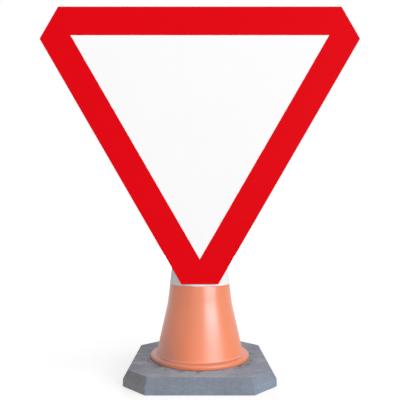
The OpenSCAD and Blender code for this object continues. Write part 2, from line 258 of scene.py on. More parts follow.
def cut(piece, *cutters, keep="DIFFERENCE"):
    """Cut closed shapes out of a piece, join them to it or keep what both share; the shapes are used up."""
    for cutter in cutters:
        work(piece, "BOOLEAN", operation=keep, object=cutter, solver="EXACT")
        bpy.data.objects.remove(cutter, do_unlink=True)


def soften(piece, width, segments=2):
    """Take the sharpness off a piece's edges."""
    work(piece, "BEVEL", width=width * MM, segments=segments, limit_method="ANGLE",
         angle_limit=math.radians(CREASE), use_clamp_overlap=True)
    shade(piece)
    work(piece, "WEIGHTED_NORMAL", keep_sharp=True)


def place_copies(name, model, places):
    """Copy a model to each (x, y, z, turn) in millimetres and radians, and join the copies."""
    copies = []
    for x, y, z, turned in places:
        choose(model)
        bpy.ops.object.duplicate(linked=False)
        copy = bpy.context.object
        settle(copy, (x, y, z), turned)
        copies.append(copy)
    bpy.data.objects.remove(model, do_unlink=True)
    choose(copies[0])
    for copy in copies:
        copy.select_set(True)
    bpy.ops.object.join()
    copies[0].name = name
    copies[0].data.name = name
    return copies[0]


def arc(centre, radius, first, last, steps):
    """Points of an arc in a section, from one angle to another in degrees."""
    angles = [math.radians(first + (last - first) * i / steps) for i in range(steps + 1)]
    return [(centre[0] + radius * math.cos(a), centre[1] + radius * math.sin(a)) for a in angles]


def straight(first, last, steps):
    """Points of a straight stretch in a section, without its first end."""
    return [(first[0] + (last[0] - first[0]) * i / steps, first[1] + (last[1] - first[1]) * i / steps)
            for i in range(1, steps + 1)]


def rounded(before, corner, after, radius, steps):
    """Points that round a corner of a section."""
    corner = Vector(corner)
    one = (Vector(before) - corner).normalized()
    two = (Vector(after) - corner).normalized()
    half = one.angle(two) / 2
    middle = corner + (one + two).normalized() * radius / math.sin(half)
    first = corner + one * radius / math.tan(half) - middle
    last = corner + two * radius / math.tan(half) - middle
    start_at = math.atan2(first.y, first.x)
    sweep = (math.atan2(last.y, last.x) - start_at + math.pi) % (2 * math.pi) - math.pi
    return [(middle.x + radius * math.cos(start_at + sweep * i / steps),
             middle.y + radius * math.sin(start_at + sweep * i / steps)) for i in range(steps + 1)]


def turn(name, section, sides=ROUND_SIDES):
    """Draw a ring along a closed section of (radius, height) points, as on a lathe; left open."""
    radius, height = section[0]
    piece = start(bpy.ops.mesh.primitive_circle_add, name, vertices=sides, radius=radius * MM,
                  location=(0, 0, height * MM))
    for here, there in zip(section, section[1:] + section[:1]):
        pull(z=there[1] - here[1])
        widen(there[0] / here[0])
    clean()
    return piece


def drum(name, radius, low, high, sides=ROUND_SIDES):
    """A closed round cutter between two heights."""
    return close(start_prism(name, radius, low, high, sides))


def box_mm(node):
    """A CAD node's lowest and highest corners in millimetres."""
    low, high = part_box(node)
    return Vector(low) / MM, Vector(high) / MM


def cone_r(z):
    """Outer radius of the cone above its waist, or of its skirt below it."""
    if z < WAIST_Z:
        return SKIRT_R + (WAIST_R - SKIRT_R) * (z - SKIRT_Z) / (WAIST_Z - SKIRT_Z)
    return WAIST_R + (TOP_R - WAIST_R) * (z - WAIST_Z) / (TOP_Z - WAIST_Z)


def cone_section():
    """The cone's wall: up outside from the spigot to the rolled top, down through the socket and inside."""
    waist = rounded((SKIRT_R, SKIRT_Z), (WAIST_R, WAIST_Z), (TOP_R, TOP_Z), WAIST_BLEND, steps=8)
    inside = [(r - WALL, z) for r, z in waist]
    fillet = rounded((LIP_R, SKIRT_Z), (SKIRT_R, SKIRT_Z), (WAIST_R, WAIST_Z), LIP_FILLET, steps=6)
    lip = arc((LIP_R - LIP_FOOT_R, LIP_Z + LIP_FOOT_R), LIP_FOOT_R, -90, 0, steps=6)
    lip += arc((LIP_R - LIP_ROUND, SKIRT_Z - LIP_ROUND), LIP_ROUND, 0, 90, steps=10)
    rim_r = (TOP_R - SOCKET_R) / 2
    rim = arc((SOCKET_R + rim_r, TOP_Z), rim_r, 0, 180, steps=14)
    low_r, high_r = cone_r(RECESS_Z), cone_r(RECESS_TOP)
    low_edge = [(low_r - RECESS_LEAN, RECESS_Z - RECESS_EDGE), (low_r - RECESS_EDGE, RECESS_Z)]
    high_edge = [(high_r - RECESS_EDGE, RECESS_TOP), (high_r - RECESS_LEAN, RECESS_TOP + RECESS_EDGE)]
    land = (cone_r(RECESS_Z - RECESS_LAND), RECESS_Z - RECESS_LAND)
    recess_foot = (low_r - RECESS_DEPTH, RECESS_Z)
    recess_head = (high_r - RECESS_DEPTH, RECESS_TOP)
    slope_foot = (cone_r(SLOPE_FOOT) - WALL, SLOPE_FOOT)
    section = [(SPIGOT_R - WALL, SPIGOT_Z), (SPIGOT_R, SPIGOT_Z), (SPIGOT_R, SPIGOT_Z + LUG_FOOT),
               (SPIGOT_R, LUG_TOP - LUG_SHOULDER), (SPIGOT_R, LUG_TOP), (SPIGOT_R, LIP_Z)]
    section += lip + fillet
    section += straight(fillet[-1], waist[0], steps=12) + waist[1:]
    section += straight(waist[-1], land, steps=4) + low_edge
    section += [recess_foot] + straight(recess_foot, recess_head, steps=12) + high_edge
    section += straight(high_edge[-1], (TOP_R, TOP_Z), steps=10) + rim[1:]
    section += [(SOCKET_R, SOCKET_FOOT), slope_foot] + straight(slope_foot, inside[-1], steps=12)
    section += inside[-2::-1] + straight(inside[0], (SKIRT_R - WALL, SKIRT_Z), steps=6)
    return section + [(SPIGOT_R - WALL, LIP_Z)]


def on_a_lug(face):
    """Whether a face of the spigot's outside lies where a lug stands out."""
    centre = centre_of(face)
    apart = 360 / LUG_COUNT
    angle = math.degrees(math.atan2(centre.y, centre.x)) % apart
    outside = face.normal.xy.length > FACING and centre.xy.length > SPIGOT_R - NEAR
    return (min(angle, apart - angle) < LUG_HALF_ANGLE and outside
            and SPIGOT_Z + LUG_FOOT < centre.z < LUG_TOP)


def stacking_rib(number):
    """One upright rib for the inside of the cone, deeper towards its top."""
    top = STACK_RIB_Z + STACK_RIB_L
    root_low, root_high = cone_r(STACK_RIB_Z) - WALL, cone_r(top) - WALL
    rib = start(bpy.ops.mesh.primitive_plane_add, "rib", size=1)
    pick(rib, "VERT", lambda v: v.co.x > 0 and v.co.y > 0)
    bpy.ops.mesh.dissolve_verts()
    corners = ((root_low + STACK_RIB_ROOT, STACK_RIB_Z), (root_high + STACK_RIB_ROOT, top),
               (root_high - STACK_RIB_REACH, top))
    mesh = bmesh.from_edit_mesh(rib.data)
    for vertex, (radius, height) in zip(mesh.verts, corners):
        vertex.co = Vector((radius, -STACK_RIB_T / 2, height)) * MM
    bmesh.update_edit_mesh(rib.data)
    bpy.ops.mesh.select_all(action="SELECT")
    pull(y=STACK_RIB_T)
    close(rib)
    settle(rib, (0, 0, 0), (0, 0, 2 * math.pi * (number + 0.5) / STACK_RIB_COUNT))
    return rib


def mould_cone():
    """The hollow orange cone: spigot with lugs, lip, skirt, waist, sleeve recess, rolled top and socket."""
    piece = turn("orange_cone", cone_section())
    pick(piece, "FACE", on_a_lug)
    raise_faces(LUG_REACH)
    pick(piece, "VERT", lambda v: v.co.z / MM < SPIGOT_Z + LUG_FOOT + NEAR
         and v.co.xy.length / MM > SPIGOT_R + NEAR)
    widen((SPIGOT_R + LUG_FOOT_REACH) / (SPIGOT_R + LUG_REACH))
    close(piece, ROUND_CREASE)
    for number in range(STACK_RIB_COUNT):
        cut(piece, stacking_rib(number), keep="UNION")
    shade(piece, ROUND_CREASE)
    return piece


def wrap_sleeve():
    """The white sleeve, with its overlapped seam at the back."""
    gap = RECESS_DEPTH - SLEEVE_T
    low, high = RECESS_Z + gap, RECESS_TOP - gap
    outer_low, outer_high = (cone_r(low), low), (cone_r(high), high)
    inner_low, inner_high = (cone_r(low) - SLEEVE_T, low), (cone_r(high) - SLEEVE_T, high)
    section = [inner_low, outer_low] + straight(outer_low, outer_high, steps=24) + [inner_high]
    piece = turn("white_sleeve", section)
    pick(piece, "FACE", lambda f: f.normal.y > FACING and centre_of(f).y > 0
         and abs(centre_of(f).x) < SEAM_W / 2)
    raise_faces(SEAM_T)
    return close(piece, ROUND_CREASE)


def eight_sided(name, half, corner, low, high):
    """A block with cut corners between two heights; left open."""
    piece = start_block(name, (-half, -half, low), (half, half, high))
    pick(piece, "EDGE", lambda e: abs(e.verts[0].co.z - e.verts[1].co.z) > (high - low) / 2 * MM)
    bpy.ops.mesh.bevel(offset=corner * MM, segments=1, affect="EDGES")
    return piece


def cast_base():
    """The heavy base: an eight-sided block with a bevel, a hole for the cone and a hollowed underside."""
    top = box_mm("base_weight")[1]
    half = top.x
    piece = eight_sided("rubber_base", half, BASE_CORNER, 0, BAND_H)
    pick(piece, "FACE", lambda f: f.normal.z > FACING)
    bpy.ops.mesh.inset(thickness=BEVEL_IN * MM, depth=(top.z - BAND_H) * MM)
    bpy.ops.mesh.select_all(action="SELECT")
    bpy.ops.mesh.bevel(offset=BASE_EDGE_R * MM, segments=4, affect="EDGES")
    close(piece)
    inner = half - FOOT_W
    corner_inner = (2 * half - BASE_CORNER) / math.sqrt(2) - FOOT_W
    hollows = eight_sided("hollows", inner, 2 * inner - corner_inner * math.sqrt(2), -JUST_PAST, HOLLOW_DEPTH)
    close(hollows)
    roof = HOLLOW_DEPTH + PAST
    cut(hollows, drum("ring", LUG_RECESS_R + RING_W, -PAST, roof))
    for number in range(RIB_COUNT):
        rib = close(start_block("rib", (-2 * half, -RIB_W / 2, -PAST), (2 * half, RIB_W / 2, roof)))
        settle(rib, (0, 0, 0), (0, 0, math.pi * number / RIB_COUNT))
        cut(hollows, rib)
    cut(piece, hollows, drum("hole", HOLE_R, -PAST, top.z + PAST),
        drum("lug_recess", LUG_RECESS_R, -PAST, LEDGE_Z))
    shade(piece)
    work(piece, "WEIGHTED_NORMAL", keep_sharp=True)
    return piece


def sign_sheet(name, node, border=None):
    """A sheet of the sign's outline in a node's place; with a border, only a ring that wide."""
    low, high = box_mm(node)
    full_height = high.z - low.z + CORNER_CUT * math.sqrt(3) / 2
    to_corner = full_height * 2 / 3
    centre = (0, high.y * MM, (high.z - full_height / 3) * MM)
    piece = start(bpy.ops.mesh.primitive_circle_add, name, vertices=3, radius=to_corner * MM,
                  fill_type="NGON", location=centre, rotation=(-math.pi / 2, 0, 0))
    if border:
        bpy.ops.mesh.inset(thickness=border * MM)
        bpy.ops.mesh.delete(type="FACE")
    pick(piece, "VERT", lambda v: (v.co - Vector(centre)).length > (to_corner - NEAR) * MM)
    bpy.ops.mesh.bevel(offset=CORNER_CUT * MM, affect="VERTICES", segments=1)
    bpy.ops.mesh.select_all(action="SELECT")
    pull(y=low.y - high.y)
    return close(piece)


def press_rail(name, node):
    """A hat-section rail: a flange against the plate and a slotted channel for the bolt heads."""
    low, high = box_mm(node)
    middle = (low.z + high.z) / 2
    flange_back = low.y + FLANGE_T
    piece = start_block(name, low, (high.x, flange_back, high.z))
    for height in (CHANNEL_OUT / 2, CHANNEL_IN / 2, -CHANNEL_IN / 2, -CHANNEL_OUT / 2):
        split((0, 0, middle + height), (0, 0, 1))
    pick(piece, "FACE", lambda f: f.normal.y > FACING
         and CHANNEL_IN / 2 < abs(centre_of(f).z - middle) < CHANNEL_OUT / 2)
    pull(y=high.y - flange_back)
    split((0, high.y - LIP_T, 0), (0, 1, 0))
    for side in (1, -1):
        inner = middle + side * CHANNEL_IN / 2
        pick(piece, "FACE", lambda f: abs(f.normal.z) > FACING and abs(centre_of(f).z - inner) < NEAR
             and centre_of(f).y > high.y - LIP_T)
        pull(z=side * (SLOT_W - CHANNEL_IN) / 2)
    close(piece)
    soften(piece, RAIL_EDGE_R)
    return piece


def lay_tape(name, node):
    """A strip of bonding tape with softened edges."""
    piece = close(start_block(name, *box_mm(node)))
    soften(piece, TAPE_EDGE_R, segments=3)
    return piece


def fit_end_caps():
    """One plastic cap, copied to both ends of both rails."""
    low, high = box_mm("upper_rail")
    depth, height = high.y - low.y, high.z - low.z
    piece = start_block("cap", (0, 0, -height / 2), (CAP_T, FLANGE_T, height / 2))
    for edge in (CHANNEL_OUT / 2, -CHANNEL_OUT / 2):
        split((0, 0, edge), (0, 0, 1))
    pick(piece, "FACE", lambda f: f.normal.y > FACING and abs(centre_of(f).z) < NEAR)
    pull(y=depth - FLANGE_T)
    pick(piece, "FACE", lambda f: f.normal.x < -FACING and abs(centre_of(f).z) < NEAR
         and centre_of(f).y > FLANGE_T)
    bpy.ops.mesh.inset(thickness=(LIP_T + PLUG_GAP) * MM)
    pull(x=-PLUG_L)
    close(piece)
    soften(piece, CAP_EDGE_R, segments=3)
    places = []
    for rail in ("upper_rail", "lower_rail"):
        low, high = box_mm(rail)
        middle = (low.z + high.z) / 2
        places += [(high.x, low.y, middle, (0, 0, 0)), (low.x, low.y, middle, (0, math.pi, 0))]
    return place_copies("end_caps", piece, places)


def spin_end(x, y, steps, degrees):
    """Spin the strip's open end round an upright axis."""
    bpy.ops.mesh.spin(center=(x * MM, y * MM, 0), steps=steps, angle=math.radians(degrees), axis=(0, 0, 1),
                      use_auto_merge=False)


def bend_clip(name, node):
    """A strap clip bent from strip: ear, bend, leg, round back, leg, bend and ear."""
    low, high = box_mm(node)
    inside_r = high.y - CLIP_T
    middle, width = (low.z + high.z) / 2, high.z - low.z
    bend_x, bend_y = inside_r + CLIP_T + BEND_R, low.y + CLIP_T + BEND_R
    end = (high.x * MM, (low.y + CLIP_T / 2) * MM, middle * MM)
    piece = start(bpy.ops.mesh.primitive_plane_add, name, size=width * MM, rotation=(0, math.pi / 2, 0),
                  location=end)
    bpy.ops.transform.resize(value=(1, CLIP_T / width, 1), center_override=end)
    pull(x=-EAR_L)
    spin_end(bend_x, bend_y, BEND_STEPS, 90)
    pull(y=-bend_y)
    spin_end(0, 0, STRAP_STEPS, -180)
    pull(y=bend_y)
    spin_end(-bend_x, bend_y, BEND_STEPS, 90)
    pull(x=-EAR_L)
    pick(piece, "EDGE", lambda e: all(abs(v.co.x) / MM > high.x - NEAR for v in e.verts)
         and abs(e.verts[0].co.z - e.verts[1].co.z) < NEAR * MM)
    bpy.ops.mesh.bevel(offset=EAR_CORNER_R * MM, segments=8, affect="EDGES")
    close(piece)
    for side in (1, -1):
        hole = drum("hole", CLIP_HOLE_R, -EAR_CUT, EAR_CUT, HOLE_SIDES)
        settle(hole, (side * (bend_x + EAR_L / 2), low.y, middle), (math.pi / 2, 0, 0))
        cut(piece, hole)
    soften(piece, CLIP_EDGE_R)
    return piece


def bolt_places(y):
    """Where the fasteners stand, out to the back from y."""
    places = []
    for clip in ("upper_cone_clip", "lower_cone_clip"):
        low, high = box_mm(clip)
        for side in (1, -1):
            places.append((side * (high.x - EAR_L / 2), y, (low.z + high.z) / 2, (-math.pi / 2, 0, 0)))
    return places


def make_bolts():
    """Hexagon bolts, their heads in the channel and their threads out through the ears."""
    thread = []
    for number in range(int((BOLT_L - BOLT_PLAIN) / PITCH)):
        z = BOLT_L - BOLT_END - number * PITCH
        thread += [(BOLT_R, z - CREST), (BOLT_R - THREAD_DEPTH, z - PITCH / 2), (BOLT_R, z - PITCH + CREST)]
    section = [(BOLT_CORE_R, BOLT_L), (BOLT_R - BOLT_END, BOLT_L)] + thread
    section += [(BOLT_R, 0), (BOLT_R, -JUST_PAST), (BOLT_CORE_R, -JUST_PAST)]
    shank = turn("shank", section, SHANK_SIDES)
    pick(shank, "FACE", lambda f: centre_of(f).xy.length < BOLT_CORE_R + NEAR)
    bpy.ops.mesh.delete(type="FACE")
    bpy.ops.mesh.select_all(action="SELECT")
    bpy.ops.mesh.fill_holes(sides=0)
    close(shank, ROUND_CREASE)
    head = close(start_prism("head", HEX_R, -HEAD_H, 0, HEX_SIDES, HEX_TURN))
    soften(head, HEAD_EDGE_R)
    cut(head, shank, keep="UNION")
    shade(head, HEX_CREASE)
    return place_copies("bolts", head, bolt_places(box_mm("clip_bolts")[0].y + HEAD_H))


def make_washers():
    """Flat washers with lightly rounded edges."""
    inner, outer = WASHER_HOLE_R + WASHER_EDGE, WASHER_R - WASHER_EDGE
    low, high = WASHER_EDGE, WASHER_T - WASHER_EDGE
    section = [(WASHER_HOLE_R, low), (inner, 0), (outer, 0), (WASHER_R, low),
               (WASHER_R, high), (outer, WASHER_T), (inner, WASHER_T), (WASHER_HOLE_R, high)]
    model = close(turn("washer", section, SMALL_SIDES), ROUND_CREASE)
    return place_copies("washers", model, bolt_places(box_mm("clip_washers")[0].y))


def make_nuts():
    """Lock nuts: a chamfered hexagon with a rolled collar."""
    model = close(start_prism("nut", HEX_R, 0, NUT_H + JUST_PAST, HEX_SIDES, HEX_TURN))
    wide = HEX_R + JUST_PAST
    chamfer = [(NUT_CORE_R, -JUST_PAST), (wide, -JUST_PAST),
               (wide, NUT_H - (NUT_CHAMFER + JUST_PAST) / NUT_LEAN),
               (HEX_R - NUT_CHAMFER, NUT_H), (NUT_CORE_R, NUT_H)]
    cut(model, close(turn("chamfer", chamfer, HEX_TURN_SIDES)), keep="INTERSECT")
    collar_r, top = HEX_AF / 2 - COLLAR_IN, NUT_H + COLLAR_H
    low_inner, low = NUT_BORE_R - JUST_PAST, NUT_H - JUST_PAST
    collar = [(low_inner, low), (collar_r, low)] + [(collar_r - r, top - z) for r, z in COLLAR_ROLL]
    collar += [(low_inner, top)]
    cut(model, close(turn("collar", collar, SMALL_SIDES), ROUND_CREASE), keep="UNION")
    cut(model, drum("seat", NUT_BORE_R + INSERT_W, NUT_H - SEAT_DEPTH, SEAT_CUT, HOLE_SIDES),
        drum("bore", NUT_BORE_R, -PAST, NUT_H, HOLE_SIDES))
    shade(model, HEX_CREASE)
    return place_copies("nuts", model, bolt_places(box_mm("clip_nuts")[0].y))


def make_nut_inserts():
    """The nylon rings in the lock nuts' collars."""
    low, high = NUT_H - SEAT_DEPTH + INSERT_GAP, NUT_H + COLLAR_H - INSERT_SUNK
    inner, outer = NUT_BORE_R, NUT_BORE_R + INSERT_W - INSERT_GAP
    section = [(inner, low), (outer, low), (outer, high - INSERT_OUT_EDGE), (outer - INSERT_OUT_EDGE, high),
               (inner + INSERT_IN_EDGE, high), (inner, high - INSERT_IN_EDGE)]
    model = close(turn("insert", section, HOLE_SIDES), ROUND_CREASE)
    return place_copies("nut_inserts", model, bolt_places(box_mm("clip_nuts")[0].y))


class Wire:
    """One value in a node tree; arithmetic on wires adds Math nodes."""

    def __init__(self, nodes, socket):
        self.nodes = nodes
        self.socket = socket

    def math(self, operation, *values):
        return self.nodes.node("ShaderNodeMath", {"operation": operation}, dict(enumerate(values)))

    def __add__(self, other):
        return self.math("ADD", self, other)

    def __radd__(self, other):
        return self.math("ADD", other, self)

    def __sub__(self, other):
        return self.math("SUBTRACT", self, other)

    def __rsub__(self, other):
        return self.math("SUBTRACT", other, self)

    def __mul__(self, other):
        return self.math("MULTIPLY", self, other)

    def __rmul__(self, other):
        return self.math("MULTIPLY", other, self)

    def __abs__(self):
        return self.math("ABSOLUTE", self)

    def or_more(self, other):
        """The larger of two values."""
        return self.math("MAXIMUM", self, other)

    def above(self, low, high):
        """0 below low, 1 above high, smooth between."""
        return self.nodes.node("ShaderNodeMapRange", {"interpolation_type": "SMOOTHSTEP"},
                               {"Value": self, "From Min": low, "From Max": high})

    def below(self, low, high):
        """1 below low, 0 above high, smooth between."""
        return 1 - self.above(low, high)


class Nodes:
    """A node tree, and the one way in which nodes are added to it."""

    def __init__(self, tree):
        self.tree = tree

    def node(self, kind, settings=None, sockets=None, output=0):
        """Add a node, its settings first and then the values or links of its sockets."""
        node = self.tree.nodes.new(kind)
        for setting, value in (settings or {}).items():
            setattr(node, setting, value)
        for socket, value in (sockets or {}).items():
            self.put(node.inputs[socket], value)
        return Wire(self, node.outputs[output])

    def put(self, socket, value):
        """Link a wire to a socket, or set a plain value on it."""
        if isinstance(value, Wire):
            self.tree.links.new(value.socket, socket)
        else:
            socket.default_value = value

    def reach(self, place):
        """How far a place is from the origin."""
        return self.node("ShaderNodeVectorMath", {"operation": "LENGTH"}, {0: place}, "Value")

    def seen_directly(self):
        """1 for rays from the camera and for mirror and glass rays, 0 for rays that carry light."""
        rays = ("Is Camera Ray", "Is Glossy Ray", "Is Transmission Ray")
        camera, mirror, glass = [self.node("ShaderNodeLightPath", output=ray) for ray in rays]
        return camera.or_more(mirror).or_more(glass)


class Finish(Nodes):
    """A material: constants on its shader's sockets, and nodes for what changes over the surface."""

    def __init__(self, name, **constants):
        self.material = bpy.data.materials.new(name)
        self.material.use_nodes = True
        super().__init__(self.material.node_tree)
        self.shader = self.tree.nodes["Principled BSDF"]
        self.set(**constants)
        self.place = self.node("ShaderNodeTexCoord", output="Object")

    def set(self, **values):
        """Set or link the shader's sockets."""
        for socket, value in values.items():
            self.put(self.shader.inputs[socket.replace("_", " ")], value)
        return self

    def stretched(self, x=1.0, y=1.0, z=1.0):
        """The place on the piece, stretched along its axes."""
        return self.node("ShaderNodeVectorMath", {"operation": "MULTIPLY"}, {0: self.place, 1: (x, y, z)})

    def axis(self, letter):
        """The place along one axis."""
        return self.node("ShaderNodeSeparateXYZ", None, {0: self.place}, letter)

    def noise(self, scale, detail=3.0, roughness=0.5, place=None):
        return self.node("ShaderNodeTexNoise", None, {"Vector": place or self.place, "Scale": scale,
                                                     "Detail": detail, "Roughness": roughness})

    def cells(self, scale, feature="F1"):
        """Distance from the points or edges of a pattern of cells."""
        return self.node("ShaderNodeTexVoronoi", {"feature": feature}, {"Vector": self.place, "Scale": scale},
                         "Distance")

    def flakes(self, scale):
        """A random value for each cell of a pattern."""
        colour = self.node("ShaderNodeTexVoronoi", None, {"Vector": self.place, "Scale": scale}, "Color")
        return self.node("ShaderNodeSeparateColor", None, {0: colour})

    def mix(self, factor, one, two):
        """A colour between two colours."""
        return self.node("ShaderNodeMix", {"data_type": "RGBA"}, {0: factor, 6: one, 7: two}, 2)

    def bump(self, height, distance, strength):
        return self.node("ShaderNodeBump", None, {"Height": height, "Distance": distance,
                                                 "Strength": strength})


def rgb(red, green, blue):
    """A colour given as it looks on a screen, 0 to 255."""
    def linear(value):
        value /= 255
        return value / 12.92 if value <= 0.04045 else ((value + 0.055) / 1.055) ** 2.4
    return (linear(red), linear(green), linear(blue), 1.0)


def orange_plastic():
    """Satin moulded plastic, worn rougher and dustier towards its foot, with painted shade low on the left, a
    painted highlight on the lip's shoulder and painted light in the groove above the lip.
    """
    finish = Finish("orange_plastic", Specular_IOR_Level=1.0, IOR=1.6, Specular_Tint=(0.76, 0.86, 1.0, 1.0))
    height = finish.axis("Z")
    flow = finish.noise(9.0, 4.0, 0.55, finish.stretched(z=0.35))
    grain = finish.noise(420.0, 2.0)
    scuffs = finish.noise(60.0, 5.0, 0.7, finish.stretched(z=0.25)).above(0.62, 0.74)
    dust = height.below(*DUST_FADE) * finish.noise(38.0, 5.0, 0.65).above(0.42, 0.7)
    # Painted highlight: pale patches on the lip's shoulder
    shoulder_highlight = height.above(*SHOULDER_FROM) * height.below(*SHOULDER_TO)
    shoulder_highlight = shoulder_highlight * finish.noise(80.0, 5.0, 0.7).above(0.48, 0.7)
    # Painted light: paler colour in the groove between lip and skirt, lifting the shade there
    groove_light = height.above(*GROOVE_FROM) * height.below(*GROOVE_TO)
    # Painted shade: darker low on the cone's left side, away from the lamps
    shade_low_left = height.below(*SHADE_LOW_FADE) * finish.axis("X").below(*SHADE_LEFT_FADE)
    painted_shade_left = shade_low_left * (0.7 + finish.noise(24.0, 5.0, 0.65).above(0.35, 0.65) * 0.3)
    colour = finish.mix(flow, rgb(225, 117, 61), rgb(233, 125, 69))
    colour = finish.mix(scuffs * 0.10, colour, rgb(246, 184, 160))
    colour = finish.mix(dust * 0.3, colour, rgb(146, 118, 104))
    # Below: the painted highlight on the lip's shoulder, the painted light in the groove and the painted
    # shade low on the left
    colour = finish.mix(shoulder_highlight * 0.2, colour, rgb(206, 186, 178))
    colour = finish.mix(groove_light * 0.20, colour, rgb(240, 206, 190))
    colour = finish.mix(painted_shade_left * 0.45, colour, rgb(120, 98, 98))
    rough = 0.25 + height.below(*FOOT_WEAR) * 0.10 + flow * 0.06 + scuffs * 0.10 + grain * 0.04
    seam = abs(finish.axis("Y")).below(*PARTING_LINE)
    relief = grain * 0.35 + flow * 0.6 + seam * 0.5
    return finish.set(Base_Color=colour, Roughness=rough, Normal=finish.bump(relief, 0.0004, 0.5)).material


def base_rubber():
    """Recycled rubber: blue-grey with crumbs and pits; its sides greyer on the left and bluer and lighter on
    the right as painted light, painted shade on its bevel, its top paler from dust and painted light with
    painted shade towards its left and right, and dirt with painted contact shadow round the lip.
    """
    finish = Finish("base_rubber", Specular_IOR_Level=0.35)
    height, across = finish.axis("Z"), finish.axis("X")
    on_top, bevel = height.above(*TOP_FROM), height.above(*BEVEL_FROM)
    clouds = finish.noise(17.0, 5.0, 0.62)
    swirl = finish.noise(34.0, 6.0, 0.7, finish.stretched(z=2.2))
    crumb = finish.flakes(240.0)
    grain = finish.noise(520.0, 3.0, 0.6)
    pits = finish.cells(150.0).below(0.10, 0.22) * finish.noise(24.0, 2.0).above(0.5, 0.6)
    streaks = finish.noise(30.0, 4.0, 0.6, finish.stretched(x=0.35)).above(0.50, 0.66) * on_top
    # Dirt and painted contact shadow in patches round the lip's foot
    near_lip = finish.reach(finish.stretched(z=0.0)).below(*LIP_DIRT_AND_SHADOW)
    dirt_and_shadow = finish.noise(44.0, 4.0, 0.65).above(0.46, 0.62) * near_lip * on_top
    specks = finish.cells(95.0).below(0.06, 0.12) * finish.noise(18.0, 2.0).above(0.55, 0.65)
    # Painted light: the sides greyer on the left and bluer and lighter on the right, as a bluish light from
    # the right would leave them
    sides = finish.mix(across.above(*LEFT_SIDE), rgb(141, 141, 143), rgb(131, 140, 155))
    sides = finish.mix(across.above(*RIGHT_SIDE), sides, rgb(137, 149, 167))
    # Painted shade: the upward-facing bevel darkened, and more so on the left
    sides = finish.mix(bevel * 0.32, sides, rgb(106, 109, 116))
    sides = finish.mix(bevel * across.below(*LEFT_BEVEL) * 0.20, sides, rgb(88, 87, 88))
    # The top: paler than the sides, partly dust and partly painted light, with painted shade towards its left
    # and right
    top = finish.mix(across.above(*LEFT_TOP), rgb(134, 139, 148), rgb(171, 183, 196))
    top = finish.mix(across.above(*RIGHT_TOP) * 0.7, top, rgb(127, 140, 156))
    colour = finish.mix(on_top, sides, top)
    colour = finish.mix(clouds.below(0.30, 0.55) * 0.4, colour, rgb(112, 115, 123))
    colour = finish.mix(swirl.above(0.55, 0.70) * 0.4, colour, rgb(152, 160, 174))
    colour = finish.mix(crumb.above(0.55, 1.0) * 0.18, colour, rgb(98, 99, 104))
    colour = finish.mix(crumb.below(0.0, 0.35) * 0.14, colour, rgb(166, 170, 180))
    colour = finish.mix(streaks * 0.6, colour, rgb(176, 174, 179))
    # Dirt with painted contact shadow round the lip
    colour = finish.mix(dirt_and_shadow * 0.7, colour, rgb(98, 98, 100))
    colour = finish.mix(pits * 0.6, colour, rgb(74, 75, 80))
    colour = finish.mix(specks * 0.7, colour, rgb(196, 192, 184))
    rough = 0.70 + grain * 0.16 + pits * 0.1
    relief = clouds * 1.2 + grain * 0.3 - pits + crumb * 0.1
    return finish.set(Base_Color=colour, Roughness=rough, Normal=finish.bump(relief, 0.0007, 0.6)).material


def reflective(name, shade_of, darker, cell_scale):
    """Retroreflective sheeting: a faint net of cells under a clear face."""
    finish = Finish(name, Specular_IOR_Level=0.03)
    net = finish.cells(cell_scale, "DISTANCE_TO_EDGE").below(0.02, 0.06)
    mottle = finish.noise(5.0)
    wave = finish.noise(11.0, 2.0)
    colour = finish.mix(net * 0.35, shade_of, darker)
    colour = finish.mix(mottle.above(0.4, 0.75) * 0.12, colour, darker)
    rough = 0.42 + mottle * 0.08 + net * 0.06
    relief = wave * 0.8 + net * 0.12
    return finish.set(Base_Color=colour, Roughness=rough, Normal=finish.bump(relief, 0.0003, 0.35)).material


def coated_plate():
    """Grey coated sheet with a fine peel, and paler marks where it was handled."""
    finish = Finish("coated_plate", Specular_IOR_Level=0.4)
    peel = finish.noise(300.0, 2.0)
    cloud = finish.noise(7.0, 4.0)
    marks = finish.noise(26.0, 6.0, 0.75, finish.stretched(x=0.3)).above(0.60, 0.72)
    colour = finish.mix(cloud, rgb(134, 137, 140), rgb(146, 148, 151))
    colour = finish.mix(marks * 0.3, colour, rgb(168, 170, 172))
    rough = 0.50 + cloud * 0.08 - marks * 0.06
    relief = peel + marks * 0.3
    return finish.set(Base_Color=colour, Roughness=rough, Normal=finish.bump(relief, 0.0003, 0.3)).material


def rail_aluminium():
    """Extruded aluminium with fine lines along its length."""
    finish = Finish("rail_aluminium", Metallic=1.0)
    lines = finish.noise(900.0, 3.0, 0.6, finish.stretched(x=0.004))
    cloud = finish.noise(12.0, 4.0, 0.6, finish.stretched(x=0.4))
    colour = finish.mix(lines, rgb(178, 181, 184), rgb(206, 208, 210))
    colour = finish.mix(cloud.above(0.5, 0.75) * 0.35, colour, rgb(160, 163, 166))
    rough = 0.34 + lines * 0.10 + cloud * 0.10
    return finish.set(Base_Color=colour, Roughness=rough, Normal=finish.bump(lines, 0.0002, 0.4)).material


def galvanised_steel():
    """Hot-dip galvanising: flakes of differing shine, with a frosted bloom."""
    finish = Finish("galvanised_steel", Metallic=1.0)
    spangle = finish.flakes(120.0)
    frost = finish.noise(60.0, 4.0, 0.6)
    dull = finish.noise(16.0)
    colour = finish.mix(spangle, rgb(158, 163, 168), rgb(196, 200, 203))
    colour = finish.mix(frost.above(0.5, 0.7) * 0.3, colour, rgb(176, 180, 186))
    rough = 0.36 + spangle * 0.14 + dull * 0.10
    relief = spangle * 0.2 + frost * 0.4
    return finish.set(Base_Color=colour, Roughness=rough, Normal=finish.bump(relief, 0.0002, 0.35)).material


